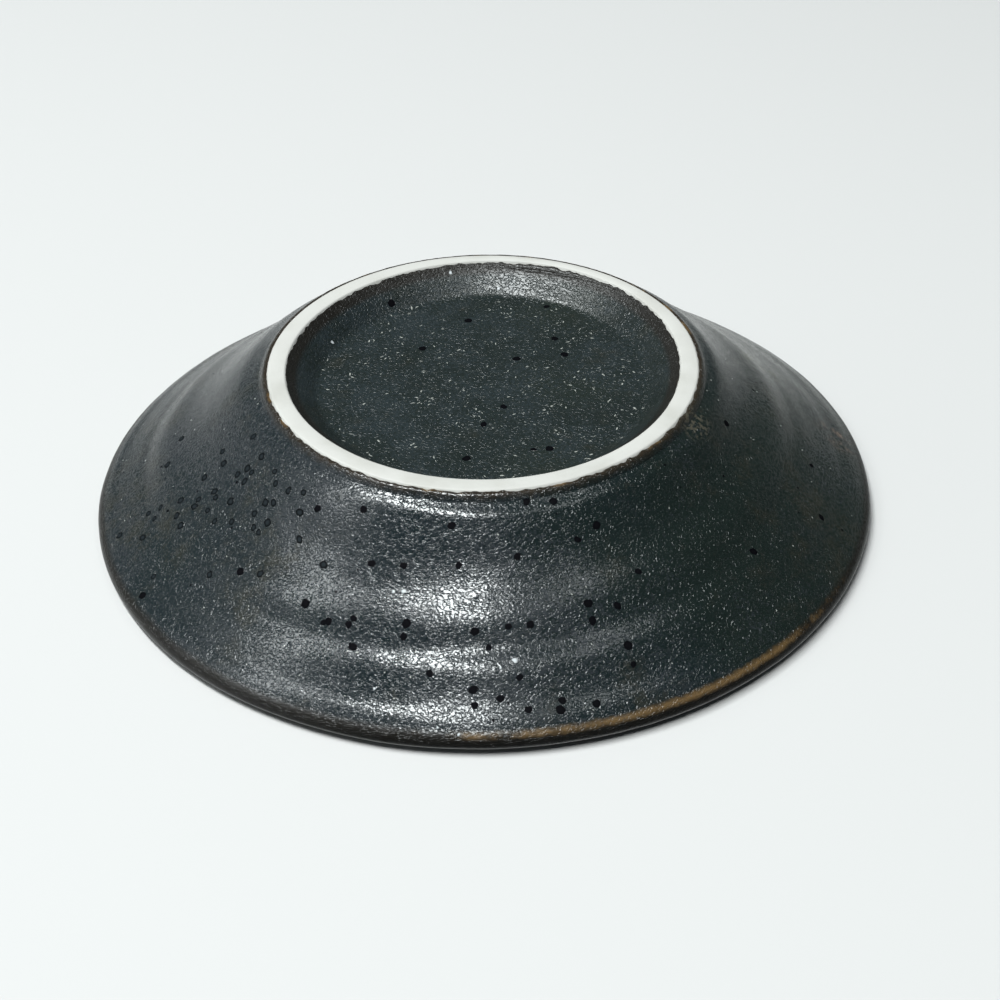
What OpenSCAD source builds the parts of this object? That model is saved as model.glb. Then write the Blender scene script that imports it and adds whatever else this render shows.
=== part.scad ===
// A small soy sauce dish: a thrown body of white clay under a dark glaze.
// It is drawn as it lies when turned over, with its lip on the plane z = 0 and
// its foot ring facing up. Every piece is one section turned about the Z axis,
// and both coats of glaze are built outward from the clay line that they cover.
// Lengths are in millimetres.

/* [Dish] */
// Diameter over the glazed lip
rim_d = 100; // [92:1:116]
// Height from the table under the lip to the face of the foot ring
dish_h = 20.4; // [18:0.1:24]
// Thickness of the wall and of its rounded lip, glaze included
lip_t = 2.6; // [2.2:0.1:3.2]
// Thickness of the base between the well and the foot recess, glaze included
base_t = 4.2; // [3.4:0.1:5]
// Radius of the curve from the floor of the well into the inner wall
well_round_r = 12; // [8:0.5:15]
// Depth to which the outer wall curves in behind a straight line from foot to lip
outer_bow = 0.6; // [0.2:0.05:1]
// Depth to which the inner wall curves out beyond a straight line from well to lip
inner_bow = 0.3; // [0.1:0.05:0.6]

/* [Foot ring] */
// Outer diameter of the foot ring at its face
foot_d = 54; // [50:0.2:58]
// Width of the foot ring's bare face
foot_face_w = 2.2; // [1.8:0.1:3.2]
// Height of the foot's outer wall, from its face to the valley below it
foot_wall_h = 1.15; // [1:0.05:1.5]
// Distance that the foot's outer wall leans outward over its height
foot_lean_w = 0.75; // [0.5:0.05:1]
// Radius of the foot ring's two worn edges
foot_edge_r = 0.25; // [0.2:0.05:0.3]
// Radius of the valley between the foot and the outer wall
valley_r = 1.6; // [1.2:0.1:2]

/* [Foot recess] */
// Height of the foot ring's steep inner wall, from its face to the sloping side
foot_in_wall_h = 1.1; // [1:0.05:1.4]
// Distance that the foot ring's inner wall leans inward over its height
foot_in_lean_w = 0.6; // [0.3:0.05:0.7]
// Radius of the curve from the inner wall into the sloping side
recess_step_r = 0.6; // [0.55:0.05:0.65]
// Distance that the sloping side runs in from the inner wall before it meets the floor
recess_side_w = 3.1; // [2.6:0.1:4.5]
// Depth of the recess floor below the face of the foot ring, glaze included
recess_depth = 3.4; // [3.1:0.1:4.2]
// Radius of the curve from the recess floor into its side
recess_round_r = 2; // [1.2:0.1:3]

/* [Throwing ridges] */
// Height of the tallest ridge on the outer wall
ridge_h = 0.35; // [0.2:0.05:0.5]
// Height of the tallest ridge on the inner wall
inner_ridge_h = 0.15; // [0.1:0.05:0.3]

/* [Glaze] */
// Thickness of the glaze away from its edges
glaze_t = 0.4; // [0.3:0.05:0.5]
// Width over which an edge of the glaze rounds down to the clay
glaze_edge_w = 0.5; // [0.3:0.05:0.5]
// Height of bare clay wiped clean on the foot's outer side
outer_wipe_h = 0.25; // [0.2:0.05:0.45]
// Height of bare clay wiped clean on the foot's inner side
inner_wipe_h = 0.3; // [0.3:0.05:0.4]

/* [Hidden] */

// Steps round the axis, in a small round, in the lip and in a long curve
turn_steps = 144;
edge_steps = 5;
round_steps = 10;
lip_steps = 18;
// Steps along the outer wall, the inner wall and a rounded edge of the glaze
wall_steps = 48;
inner_steps = 24;
glaze_edge_steps = 6;

// Each ridge as [place of its crest, reach before it, reach after it, height]:
// the first three are shares of the wall's length, the last of the tallest ridge
outer_ridge_shares =
    [[0.09, 0.09, 0.23, 1], [0.54, 0.18, 0.15, 0.9], [0.76, 0.11, 0.15, 0.45], [0.945, 0.06, 0.055, 0.25]];
inner_ridge_shares = [[0.34, 0.2, 0.2, 1], [0.7, 0.17, 0.17, 0.8]];

// Colours of the fired clay and the glaze
clay_colour = [0.89, 0.9, 0.85];
glaze_colour = [0.13, 0.14, 0.15];

// Heights of the clay under the glaze, and the foot's inner edge
recess_z = dish_h - recess_depth - glaze_t;
well_z = dish_h - recess_depth - base_t + glaze_t;
foot_r = foot_d / 2;
foot_in_r = foot_r - foot_face_w;

// Corners of the clay section before they are rounded
recess_centre = [0, recess_z];
step_corner = [foot_in_r - foot_in_lean_w, dish_h - foot_in_wall_h];
recess_corner = [step_corner[0] - recess_side_w, recess_z];
foot_in_corner = [foot_in_r, dish_h];
foot_out_corner = [foot_r, dish_h];
valley_corner = [foot_r + foot_lean_w, dish_h - foot_wall_h];
well_centre = [0, well_z];

// Round of clay inside the lip
lip_r = lip_t / 2 - glaze_t;
lip_centre = [(rim_d - lip_t) / 2, lip_t / 2];

// Angle of the line from point a to point b
function heading(a, b) = atan2(b[1] - a[1], b[0] - a[0]);

// Point at distance d from point p along an angle
function along(p, angle, d) = p + d * [cos(angle), sin(angle)];

// Point on the line from a to b that lies drop below a
function below(a, b, drop) = a + (b - a) * drop / (a[1] - b[1]);

// Point at which a line from p along an angle comes to height z
function at_height(p, angle, z) = along(p, angle, (z - p[1]) / sin(angle));

// Angle at which a line from p touches a circle, on its left (side 1) or right (side -1)
function touch_angle(p, centre, r, side) =
    heading(p, centre) + side * (90 + asin(r / norm(centre - p)));

// Point that pulls a curve from a to b away from its straight line, to its left by bow
function pull(a, b, bow) = along((a + b) / 2, heading(a, b) + 90, 2 * bow);

// Arc about a centre from one angle to another
function arc(centre, r, from, to, steps) =
    [for (i = [0 : steps]) along(centre, from + (to - from) * i / steps, r)];

// Arc of radius r that rounds the corner b of the line from a by b to c
function rounded(a, b, c, r, steps) =
    let (
        way_in = heading(a, b),
        turn = (heading(b, c) - way_in + 540) % 360 - 180,
        side = sign(turn),
        back = r * tan(abs(turn) / 2),
        start = along(b, way_in, -back),
        centre = along(start, way_in + side * 90, r)
    )
    arc(centre, r, way_in - side * 90, way_in - side * 90 + turn, steps);

// One ridge's rise: 1 at its crest, easing to 0 at either foot
function swell(u) = abs(u) < 1 ? (1 + cos(180 * u)) / 2 : 0;

// Sum of a list of numbers
function total(numbers) = numbers * [for (number = numbers) 1];

// Rise of all ridges at a share of the way along a wall
function ridge_rise(share, ridge_shares, h) =
    h * total([for (ridge = ridge_shares)
        let (reach = share < ridge[0] ? ridge[1] : ridge[2])
        ridge[3] * swell((share - ridge[0]) / reach)]);

// Inner points of a wall that curves from a towards c and on to b, with ridges on its left
function ridged_wall(a, c, b, ridge_shares, h, steps) =
    [for (i = [1 : steps - 1])
        let (
            share = i / steps,
            from = a + (c - a) * share,
            to = c + (b - c) * share
        )
        along(from + (to - from) * share, heading(from, to) + 90, ridge_rise(share, ridge_shares, h))];

// Direction away from the clay at point i of a line that keeps the clay on its right
function outward(line, i) =
    heading(line[max(i - 1, 0)], line[min(i + 1, len(line) - 1)]) + 90;

// Thickness of the glaze at a distance from its wiped edge
function glaze_at(d) =
    d < glaze_edge_w ? glaze_t * sqrt(1 - pow(1 - d / glaze_edge_w, 2)) : glaze_t;

// The surface of a coat over a clay line, less the point numbered edge, where both
// run out together at the wiped edge
function coat_surface(line, edge) =
    [for (i = [0 : len(line) - 1]) if (i != edge)
        along(line[i], outward(line, i), glaze_at(norm(line[i] - line[edge])))];

// Points from a wiped edge a on the way to b, closest together at a, where the glaze rounds off
function glaze_edge(a, b) =
    let (reach = min(glaze_edge_w, norm(b - a)))
    [for (i = [0 : glaze_edge_steps - 1])
        along(a, heading(a, b), reach * (1 - cos(90 * i / glaze_edge_steps)))];

// Last point of a line
function last(line) = line[len(line) - 1];

// A line taken in the other direction
function reversed(line) = [for (i = [len(line) - 1 : -1 : 0]) line[i]];

// Clay from the middle of the recess out to the wiped edge under the foot ring
recess_wipe = below(foot_in_corner, step_corner, inner_wipe_h);
step_arc = rounded(recess_corner, step_corner, foot_in_corner, recess_step_r, edge_steps);
recess_line = concat(
    [recess_centre],
    rounded(recess_centre, recess_corner, step_corner, recess_round_r, round_steps),
    step_arc,
    reversed(glaze_edge(recess_wipe, last(step_arc))));

// Bare clay over the foot ring
foot_line = concat(
    rounded(step_corner, foot_in_corner, foot_out_corner, foot_edge_r, edge_steps),
    rounded(foot_in_corner, foot_out_corner, valley_corner, foot_edge_r, edge_steps));

// Straight lines on which the wall is laid out, parallel on its two sides
wall_out_angle = touch_angle(valley_corner, lip_centre, lip_r, 1);
wall_out_end = along(lip_centre, wall_out_angle, lip_r);
wall_in_end = along(lip_centre, wall_out_angle + 180, lip_r);
well_corner = at_height(wall_in_end, wall_out_angle + 90, well_z);

// Clay from the wiped edge on the foot's outer wall down to the lip
outer_wipe = below(foot_out_corner, valley_corner, outer_wipe_h);
outer_pull = pull(valley_corner, wall_out_end, -outer_bow);
lip_out_angle = touch_angle(outer_pull, lip_centre, lip_r, 1);
lip_out = along(lip_centre, lip_out_angle, lip_r);
valley_arc = rounded(foot_out_corner, valley_corner, outer_pull, valley_r, round_steps);
outer_line = concat(
    glaze_edge(outer_wipe, valley_arc[0]),
    valley_arc,
    ridged_wall(last(valley_arc), outer_pull, lip_out, outer_ridge_shares, ridge_h, wall_steps));

// Clay round the lip and back up the inside to the middle of the well
inner_pull = pull(wall_in_end, well_corner, inner_bow);
lip_in_angle = touch_angle(inner_pull, lip_centre, lip_r, -1);
lip_in = along(lip_centre, lip_in_angle, lip_r);
well_arc = rounded(inner_pull, well_corner, well_centre, well_round_r, round_steps);
inner_line = concat(
    arc(lip_centre, lip_r, lip_out_angle, lip_in_angle, lip_steps),
    ridged_wall(lip_in, inner_pull, well_arc[0], inner_ridge_shares, inner_ridge_h, inner_steps),
    well_arc,
    [well_centre]);

wall_line = concat(outer_line, inner_line);

// White fired clay: base, wall and foot ring in one piece
module clay_body() {
    color(clay_colour)
        rotate_extrude($fn = turn_steps)
            polygon(concat(recess_line, foot_line, wall_line));
}

// Glaze over the outer wall, round the lip and all over the inside
module wall_glaze() {
    color(glaze_colour)
        rotate_extrude($fn = turn_steps)
            polygon(concat(wall_line, reversed(coat_surface(wall_line, 0))));
}

// Glaze inside the foot ring, parted from the rest by the bare clay
module recess_glaze() {
    color(glaze_colour)
        rotate_extrude($fn = turn_steps)
            polygon(concat(recess_line, reversed(coat_surface(recess_line, len(recess_line) - 1))));
}

clay_body();
wall_glaze();
recess_glaze();
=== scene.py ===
"""Looks of a small soy sauce dish: white clay under a dark satin glaze.

The dish lies turned over, with its lip on the table and its foot ring up. Its
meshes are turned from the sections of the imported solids, and then given the
small departures of a dish that was thrown, dipped and wiped by hand. Azimuths
are measured from the front, growing to the right. Lengths are in metres, and
a name that ends in mm is in millimetres.
"""

import logging
import math
import random
from dataclasses import dataclass, field
from enum import Enum
from functools import cached_property
from typing import Any

import bmesh
import bpy
import numpy as np
from mathutils import Matrix, Vector, noise
from mathutils.bvhtree import BVHTree


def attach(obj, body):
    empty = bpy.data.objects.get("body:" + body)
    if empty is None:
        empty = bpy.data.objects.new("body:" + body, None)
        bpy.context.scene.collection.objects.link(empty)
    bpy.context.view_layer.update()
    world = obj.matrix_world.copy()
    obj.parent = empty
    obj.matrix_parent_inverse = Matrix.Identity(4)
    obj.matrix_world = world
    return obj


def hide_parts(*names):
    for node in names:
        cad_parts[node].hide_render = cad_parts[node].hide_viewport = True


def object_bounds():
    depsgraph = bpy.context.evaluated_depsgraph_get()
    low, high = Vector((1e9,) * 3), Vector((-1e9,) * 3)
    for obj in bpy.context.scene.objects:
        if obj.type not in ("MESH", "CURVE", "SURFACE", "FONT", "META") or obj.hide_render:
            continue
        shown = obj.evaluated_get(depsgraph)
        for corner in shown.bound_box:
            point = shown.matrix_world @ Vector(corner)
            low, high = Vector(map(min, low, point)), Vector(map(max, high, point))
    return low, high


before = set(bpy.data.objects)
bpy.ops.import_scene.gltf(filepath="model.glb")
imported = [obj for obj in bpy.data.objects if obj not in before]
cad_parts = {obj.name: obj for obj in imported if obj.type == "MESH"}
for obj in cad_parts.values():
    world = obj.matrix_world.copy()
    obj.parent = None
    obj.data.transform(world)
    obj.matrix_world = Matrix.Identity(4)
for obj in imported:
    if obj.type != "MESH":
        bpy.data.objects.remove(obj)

CAD_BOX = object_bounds()
RIM_RADIUS = CAD_BOX[1].x
MM = 0.001
PHOTO_SIZE = 1000
NOISE_MIDDLE = 0.5
SHARP_ANGLE = math.radians(60)

Array = np.ndarray
Material = bpy.types.Material
Piece = bpy.types.Object
Colour = tuple[float, float, float]
Range = tuple[float, float]
Pixel = tuple[int, int]

log = logging.getLogger("soy_sauce_dish")


class Slot(Enum):
    """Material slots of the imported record."""

    CLAY = "fired_clay"
    GLAZE = "dark_glaze"


class Held(Enum):
    """Values that a mesh holds at each vertex for its finish to read."""

    FROM_EDGE = "mm_from_wiped_edge"
    FROM_LIP = "mm_from_lip"
    FROM_CENTRE = "share_from_centre"
    FROM_TRIM = "mm_from_trimming_line"


@dataclass(frozen=True)
class Wire:
    """A value in a node tree, which Python's operators work on."""

    graph: "Graph"
    socket: bpy.types.NodeSocket

    def __add__(self, other: "Wire | float") -> "Wire":
        """Sum."""
        return self.graph.math("ADD", self, other)

    __radd__ = __add__

    def __sub__(self, other: "Wire | float") -> "Wire":
        """Difference."""
        return self.graph.math("SUBTRACT", self, other)

    def __rsub__(self, other: "Wire | float") -> "Wire":
        """Difference with the number on the left."""
        return self.graph.math("SUBTRACT", other, self)

    def __mul__(self, other: "Wire | float") -> "Wire":
        """Product."""
        return self.graph.math("MULTIPLY", self, other)

    __rmul__ = __mul__

    def __truediv__(self, other: "Wire | float") -> "Wire":
        """Quotient."""
        return self.graph.math("DIVIDE", self, other)

    def __rtruediv__(self, other: "Wire | float") -> "Wire":
        """Quotient with the number on the left."""
        return self.graph.math("DIVIDE", other, self)

    def __abs__(self) -> "Wire":
        """Size without its sign."""
        return self.graph.math("ABSOLUTE", self)


class Graph:
    """A node tree that is written as expressions."""

    def __init__(self, owner: Material | bpy.types.World) -> None:
        """Empties a node tree.

        Args:
            owner: Material or world that the tree belongs to.
        """
        self.owner = owner
        owner.use_nodes = True
        self.tree = owner.node_tree
        self.tree.nodes.clear()

    def add(self, kind: str, settings: dict[str, Any] | None = None,
            values: dict[str | int, Any] | None = None, out: str | int = 0) -> Wire | None:
        """Adds any node.

        Args:
            kind: Type of the node, without the words that all types start with.
            settings: Its settings, which are set first.
            values: Value or Wire of each input, by name or number.
            out: Name or number of the output to hand back.

        Returns:
            The chosen output, or None from a node that has no outputs.
        """
        node = self.tree.nodes.new("ShaderNode" + kind)
        for name, value in (settings or {}).items():
            setattr(node, name, value)
        for name, value in (values or {}).items():
            if isinstance(value, Wire):
                self.tree.links.new(value.socket, node.inputs[name])
            else:
                node.inputs[name].default_value = value
        return Wire(self, node.outputs[out]) if len(node.outputs) else None

    def math(self, operation: str, *values: Wire | float) -> Wire:
        """Result of a Math node's operation on its inputs in order."""
        return self.add("Math", {"operation": operation}, dict(enumerate(values)))

    def parts(self, vector: Wire) -> tuple[Wire, Wire, Wire]:
        """The X, Y and Z parts of a vector."""
        split = self.add("SeparateXYZ", {}, {0: vector}).socket.node
        return tuple(Wire(self, part) for part in split.outputs)

    def vector_math(self, operation: str, vector: Wire, other: Vector, out: str = "Vector") -> Wire:
        """Result of a Vector Math node's operation on a vector and a fixed one."""
        return self.add("VectorMath", {"operation": operation}, {0: vector, 1: other}, out)

    def blend(self, factor: Wire, first: Wire | Colour, second: Wire | Colour) -> Wire:
        """Mixes two colours: 0 gives the first, 1 the second."""
        first, second = (c if isinstance(c, Wire) else (*c, 1) for c in (first, second))
        return self.add("Mix", {"data_type": "RGBA"}, {0: factor, 6: first, 7: second}, out=2)

    def eased(self, value: Wire, between: Range) -> Wire:
        """Eases from 0 at a range's low end to 1 at its high end."""
        return self.add("MapRange", {"interpolation_type": "SMOOTHSTEP"},
                        {"Value": value, "From Min": between[0], "From Max": between[1]})

    def band(self, value: Wire, centre: float, reach: float) -> Wire:
        """1 where the value is centre, easing to 0 at reach from it."""
        return 1 - self.eased(abs(value - centre), (0, reach))

    @cached_property
    def place(self) -> Wire:
        """The place on the object."""
        return self.add("TexCoord", out="Object")

    def held(self, which: Held) -> Wire:
        """A value that the mesh holds."""
        return self.add("Attribute", {"attribute_name": which.value}, out="Fac")

    def cloud(self, size_mm: float, detail: float = 2, rough: float = 0.5, swirl: float = 0,
              place: Wire | None = None) -> Wire:
        """Cloudy noise from 0 to 1: its blotches' size, how many finer layers, how strong, how stirred."""
        return self.add("TexNoise", {}, {"Vector": place or self.place, "Scale": 1 / (size_mm * MM),
                                         "Detail": detail, "Roughness": rough, "Distortion": swirl})

    def dots(self, spacing_mm: float, radius_mm: float) -> Wire:
        """Scattered round dots: 1 at the centre of each, easing to 0 at its radius."""
        values = {"Vector": self.place, "Scale": 1 / (spacing_mm * MM)}
        return 1 - self.eased(self.add("TexVoronoi", {}, values, "Distance"), (0, radius_mm / spacing_mm))

    def bump(self, height_mm: Wire) -> Wire:
        """Normal of a surface that rises by a height in millimetres."""
        return self.add("Bump", {}, {
            "Strength": 1, "Distance": 1, "Height": height_mm * MM}, out="Normal")

    def finished(self, values: dict[str, Any]) -> Material:
        """The material, ended in a Principled shader with these values of its sockets."""
        self.add("OutputMaterial", {}, {"Surface": self.add("BsdfPrincipled", {}, values)})
        return self.owner


@dataclass(frozen=True)
class StainAndSheen:
    """A small grainy patch laid over the glaze: a stain where the fire changed it, and in one place a
    painted highlight where the ridges catch the light.
    """

    place_mm: tuple[float, float, float]
    reach_mm: float
    grain_mm: float
    colour: Colour
    fades_between: Range = (0.3, 1)
    grains_between: Range = (0.48, 0.62)

    def over(self, graph: Graph, colour: Wire) -> Wire:
        """Lays the patch over a colour.

        Args:
            graph: Graph of the glaze.
            colour: Colour of the glaze.

        Returns:
            The colour with the patch laid over it.
        """
        distance = graph.vector_math("DISTANCE", graph.place, Vector(self.place_mm) * MM, "Value")
        near = 1 - graph.eased(distance / (self.reach_mm * MM), self.fades_between)
        grains = graph.eased(graph.cloud(self.grain_mm, detail=3, rough=0.6), self.grains_between)
        return graph.blend(near * grains, colour, self.colour)


@dataclass(frozen=True)
class DarkGlaze:
    """Satin black glaze, finely wrinkled, that breaks to brown where it runs thin, with painted shade on the
    lip and in the trimming groove.
    """

    name: str = "satin_black_glaze"
    specular: float = 0.5
    roughness: float = 0.15
    roughness_drift: float = 0.12
    lip_roughness: float = 0.1

    black: Colour = (0.006, 0.0115, 0.0135)
    green_black: Colour = (0.008, 0.0135, 0.0115)
    green_to_right: float = 0.5
    green_between: Range = (0.45, 0.95)
    gunmetal: Colour = (0.021, 0.025, 0.029)
    cloud_mm: float = 14
    mottle_mm: float = 0.45
    mottle_share: float = 2.2
    pale_lost_in_green: float = 0.3
    pale_between: Range = (0.3, 0.75)
    umber: Colour = (0.019, 0.0195, 0.0135)
    umber_strength: float = 0.75
    umber_cloud_share: float = 0.6
    umber_mottle_share: float = 0.6
    umber_to_sides: float = 0.16
    umber_between: Range = (0.6, 0.82)
    crystal: Colour = (0.036, 0.042, 0.04)
    crystal_mm: float = 0.42
    crystal_radius_mm: float = 0.14
    crystal_patch_mm: float = 1.7
    crystal_between: Range = (0.42, 0.62)

    brown: Colour = (0.026, 0.018, 0.011)
    fringe_mm: float = 1.5
    fringe_start_mm: float = 0.6
    fringe_strength: float = 0.9
    fringe_ragged_mm: float = 1.2
    ragged_size_mm: float = 0.9
    ochre: Colour = (0.12, 0.074, 0.031)
    gold_patch_mm: float = 3.2
    gold_between: Range = (0.58, 0.72)
    gold_fades_mm: Range = (0.1, 0.6)
    # Lip colour: partly the thin glaze's brown, partly painted shade from the table under the lip; the same
    # colour paints the shade in the trimming groove
    painted_shade_brown: Colour = (0.009, 0.007, 0.005)
    lip_shade_strength: float = 0.9
    lip_fades_mm: Range = (1.2, 2.2)
    lip_break_mm: float = 1.6
    lip_break_reach_mm: float = 0.75
    lip_break_ragged_mm: float = 0.6
    thin_towards: float = math.radians(26)
    thin_focus: float = 1.6
    thin_patch_mm: float = 3.5
    thin_patch_share: float = 0.8
    thin_between: Range = (1.68, 2.0)
    stains_and_sheen: tuple[StainAndSheen, ...] = (
        StainAndSheen((25.6, -12.8, 19.2), 3.2, 0.7, (0.07, 0.064, 0.048)),
        StainAndSheen((46.3, 4.7, 4.1), 4.5, 2.0, (0.075, 0.05, 0.036)),
        # Painted highlight: a pale greenish patch where the ridges on the right catch the light
        StainAndSheen((37.1, 13.5, 10.0), 5.0, 2.0, (0.05, 0.055, 0.034)),
    )

    upward_squeeze: float = 1.9
    wrinkle_mm: float = 0.38
    wrinkle_rise_mm: float = 0.034
    crease_mm: float = 0.608
    crease_fall_mm: float = 0.036
    crease_reach: float = 0.08
    grain_mm: float = 0.16
    grain_rise_mm: float = 0.006
    # Groove along the trimming line: a shallow bump, with painted shade in it
    groove_mm: float = 0.16
    groove_reach_mm: float = 0.1
    groove_fall_mm: float = 0.03
    groove_shade_strength: float = 0.8

    def ground(self, graph: Graph, clouds: Wire) -> Wire:
        """Colour of the glaze where it lies thick: black to gunmetal, with earthy patches and crystals.

        Args:
            graph: Graph of the glaze.
            clouds: Wide cloudy noise.

        Returns:
            The colour.
        """
        rightward = graph.parts(graph.place)[0] / RIM_RADIUS
        drift = graph.cloud(2 * self.cloud_mm, detail=1)
        mottle = graph.cloud(self.mottle_mm, detail=4, rough=0.8) - NOISE_MIDDLE
        greenish = graph.eased(rightward * self.green_to_right + drift, self.green_between)
        colour = graph.blend(greenish, self.black, self.green_black)
        pale = clouds + mottle * self.mottle_share - greenish * self.pale_lost_in_green
        colour = graph.blend(graph.eased(pale, self.pale_between), colour, self.gunmetal)
        patches = graph.cloud(self.cloud_mm * self.umber_cloud_share, detail=4, rough=0.7)
        earthy = patches + abs(rightward) * self.umber_to_sides + mottle * self.umber_mottle_share
        earthy = graph.eased(earthy, self.umber_between) * self.umber_strength
        colour = graph.blend(earthy, colour, self.umber)
        crystals = (graph.dots(self.crystal_mm, self.crystal_radius_mm)
                    * graph.eased(graph.cloud(self.crystal_patch_mm), self.crystal_between))
        return graph.blend(crystals, colour, self.crystal)

    def thinned(self, graph: Graph, lip: Wire, colour: Wire) -> Wire:
        """Browns a colour where the glaze runs thin: beside the bare clay, on the lip and in front of it. On
        the lip the brown is darkened near to black with painted shade.

        Args:
            graph: Graph of the glaze.
            lip: 1 on the lip, 0 away from it.
            colour: Colour of the glaze where it lies thick.

        Returns:
            The browned colour.
        """
        from_edge = graph.held(Held.FROM_EDGE)
        ragged = graph.cloud(self.ragged_size_mm)
        fringe_fades_mm = (self.fringe_start_mm, self.fringe_start_mm + self.fringe_mm)
        fringe = 1 - graph.eased(from_edge + ragged * self.fringe_ragged_mm, fringe_fades_mm)
        colour = graph.blend(fringe * self.fringe_strength, colour, self.brown)
        gold = (graph.eased(graph.cloud(self.gold_patch_mm), self.gold_between)
                * (1 - graph.eased(from_edge, self.gold_fades_mm)))
        colour = graph.blend(gold * self.fringe_strength, colour, self.ochre)
        # Painted shade: the lip is darkened to a near-black brown, partly thin glaze and partly shade
        colour = graph.blend(lip * self.lip_shade_strength, colour, self.painted_shade_brown)
        x, y, _ = graph.parts(graph.place)
        towards = (x * math.sin(self.thin_towards) - y * math.cos(self.thin_towards)) / RIM_RADIUS
        patches = graph.cloud(self.thin_patch_mm, detail=4, rough=0.75) * self.thin_patch_share
        patch = graph.eased(towards * self.thin_focus + patches, self.thin_between)
        from_lip = graph.held(Held.FROM_LIP) + ragged * self.lip_break_ragged_mm
        thin = graph.band(from_lip, self.lip_break_mm, self.lip_break_reach_mm)
        return graph.blend(thin * patch, colour, self.ochre)

    def relief_mm(self, graph: Graph) -> Wire:
        """Height of the fine wrinkles, creases and grain.

        Args:
            graph: Graph of the glaze.

        Returns:
            The height in millimetres.
        """
        squeezed = graph.vector_math("MULTIPLY", graph.place, Vector((1, 1, self.upward_squeeze)))
        wrinkles = graph.cloud(self.wrinkle_mm, detail=1, rough=0.45, swirl=0.3, place=squeezed)
        folds = graph.cloud(self.crease_mm, detail=1, place=squeezed)
        creases = graph.band(folds, NOISE_MIDDLE, self.crease_reach)
        grain = graph.cloud(self.grain_mm, detail=1)
        return (wrinkles * self.wrinkle_rise_mm - creases * self.crease_fall_mm
                + grain * self.grain_rise_mm)

    def material(self) -> Material:
        """Builds the material.

        Returns:
            The material, which reads the distances that the glaze meshes hold.
        """
        graph = Graph(bpy.data.materials.new(self.name))
        clouds = graph.cloud(self.cloud_mm, detail=3)
        lip = 1 - graph.eased(abs(graph.held(Held.FROM_LIP)), self.lip_fades_mm)
        colour = self.thinned(graph, lip, self.ground(graph, clouds))
        for laid_patch in self.stains_and_sheen:
            colour = laid_patch.over(graph, colour)
        grooves = graph.band(abs(graph.held(Held.FROM_TRIM)), self.groove_mm, self.groove_reach_mm)
        # Painted shade: the groove along the trimming line is darkened as if shade lay in it
        colour = graph.blend(grooves * self.groove_shade_strength, colour, self.painted_shade_brown)
        height = self.relief_mm(graph) - grooves * self.groove_fall_mm
        least_rough = self.roughness - self.roughness_drift * NOISE_MIDDLE
        rough = clouds * self.roughness_drift + least_rough + lip * self.lip_roughness
        return graph.finished({"Base Color": colour, "Roughness": rough,
                               "Specular IOR Level": self.specular, "Normal": graph.bump(height)})


@dataclass(frozen=True)
class RecessGlazeFinish(DarkGlaze):
    """The same glaze inside the foot ring, rougher and calmer in colour, with brighter crystals."""

    name: str = "calm_recess_glaze"
    roughness: float = 0.28
    black: Colour = (0.010, 0.0145, 0.0135)
    green_black: Colour = (0.013, 0.018, 0.014)
    gunmetal: Colour = (0.018, 0.025, 0.028)
    cloud_mm: float = 7
    crystal: Colour = (0.07, 0.078, 0.074)
    fringe_mm: float = 0.6
    fringe_strength: float = 0.5
    wrinkle_rise_mm: float = 0.035


@dataclass(frozen=True)
class FiredClay:
    """Warm white fired clay, smooth, with faint turning lines and small marks."""

    name: str = "white_fired_clay"
    roughness: float = 0.62
    white: Colour = (0.52, 0.511, 0.485)
    shade: Colour = (0.452, 0.443, 0.412)
    shade_mm: float = 6
    shade_between: Range = (0.4, 0.75)
    mark: Colour = (0.30, 0.28, 0.22)
    mark_spacing_mm: float = 1.9
    mark_radius_mm: float = 0.12
    mark_patch_mm: float = 3
    mark_between: Range = (0.5, 0.6)
    mark_strength: float = 0.6
    mark_fall_mm: float = 0.02
    turning_mm: float = 0.22
    turning_rise_mm: float = 0.001
    grain_mm: float = 0.25
    grain_rise_mm: float = 0.008

    def material(self) -> Material:
        """Builds the material.

        Returns:
            The material.
        """
        graph = Graph(bpy.data.materials.new(self.name))
        shaded = graph.eased(graph.cloud(self.shade_mm, detail=4), self.shade_between)
        marks = (graph.dots(self.mark_spacing_mm, self.mark_radius_mm)
                 * graph.eased(graph.cloud(self.mark_patch_mm), self.mark_between))
        colour = graph.blend(shaded, self.white, self.shade)
        colour = graph.blend(marks * self.mark_strength, colour, self.mark)
        x, y, _ = graph.parts(graph.place)
        radius = graph.math("SQRT", x * x + y * y)
        turning = graph.math("SINE", radius * (2 * math.pi / (self.turning_mm * MM)))
        grain = graph.cloud(self.grain_mm)
        height = turning * self.turning_rise_mm + grain * self.grain_rise_mm - marks * self.mark_fall_mm
        return graph.finished({"Base Color": colour, "Roughness": self.roughness,
                               "Normal": graph.bump(height)})


@dataclass(frozen=True)
class SpeckFinish:
    """Finish of the small specks that melt into the glaze."""

    name: str
    middle: Colour
    rim: Colour
    roughness: float
    specular: float
    rim_between: Range = (0.2, 0.8)
    roughness_mm: float = 0.3
    roughness_drift: float = 0.1
    grain_mm: float = 0.12
    grain_rise_mm: float = 0.004

    def material(self) -> Material:
        """Builds the material.

        Returns:
            The material, which reads how far a point lies from its speck's centre.
        """
        graph = Graph(bpy.data.materials.new(self.name))
        outward = graph.eased(graph.held(Held.FROM_CENTRE), self.rim_between)
        least_rough = self.roughness - self.roughness_drift * NOISE_MIDDLE
        return graph.finished({
            "Base Color": graph.blend(outward, self.middle, self.rim),
            "Roughness": graph.cloud(self.roughness_mm) * self.roughness_drift + least_rough,
            "Specular IOR Level": self.specular,
            "Normal": graph.bump(graph.cloud(self.grain_mm) * self.grain_rise_mm)})


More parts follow.
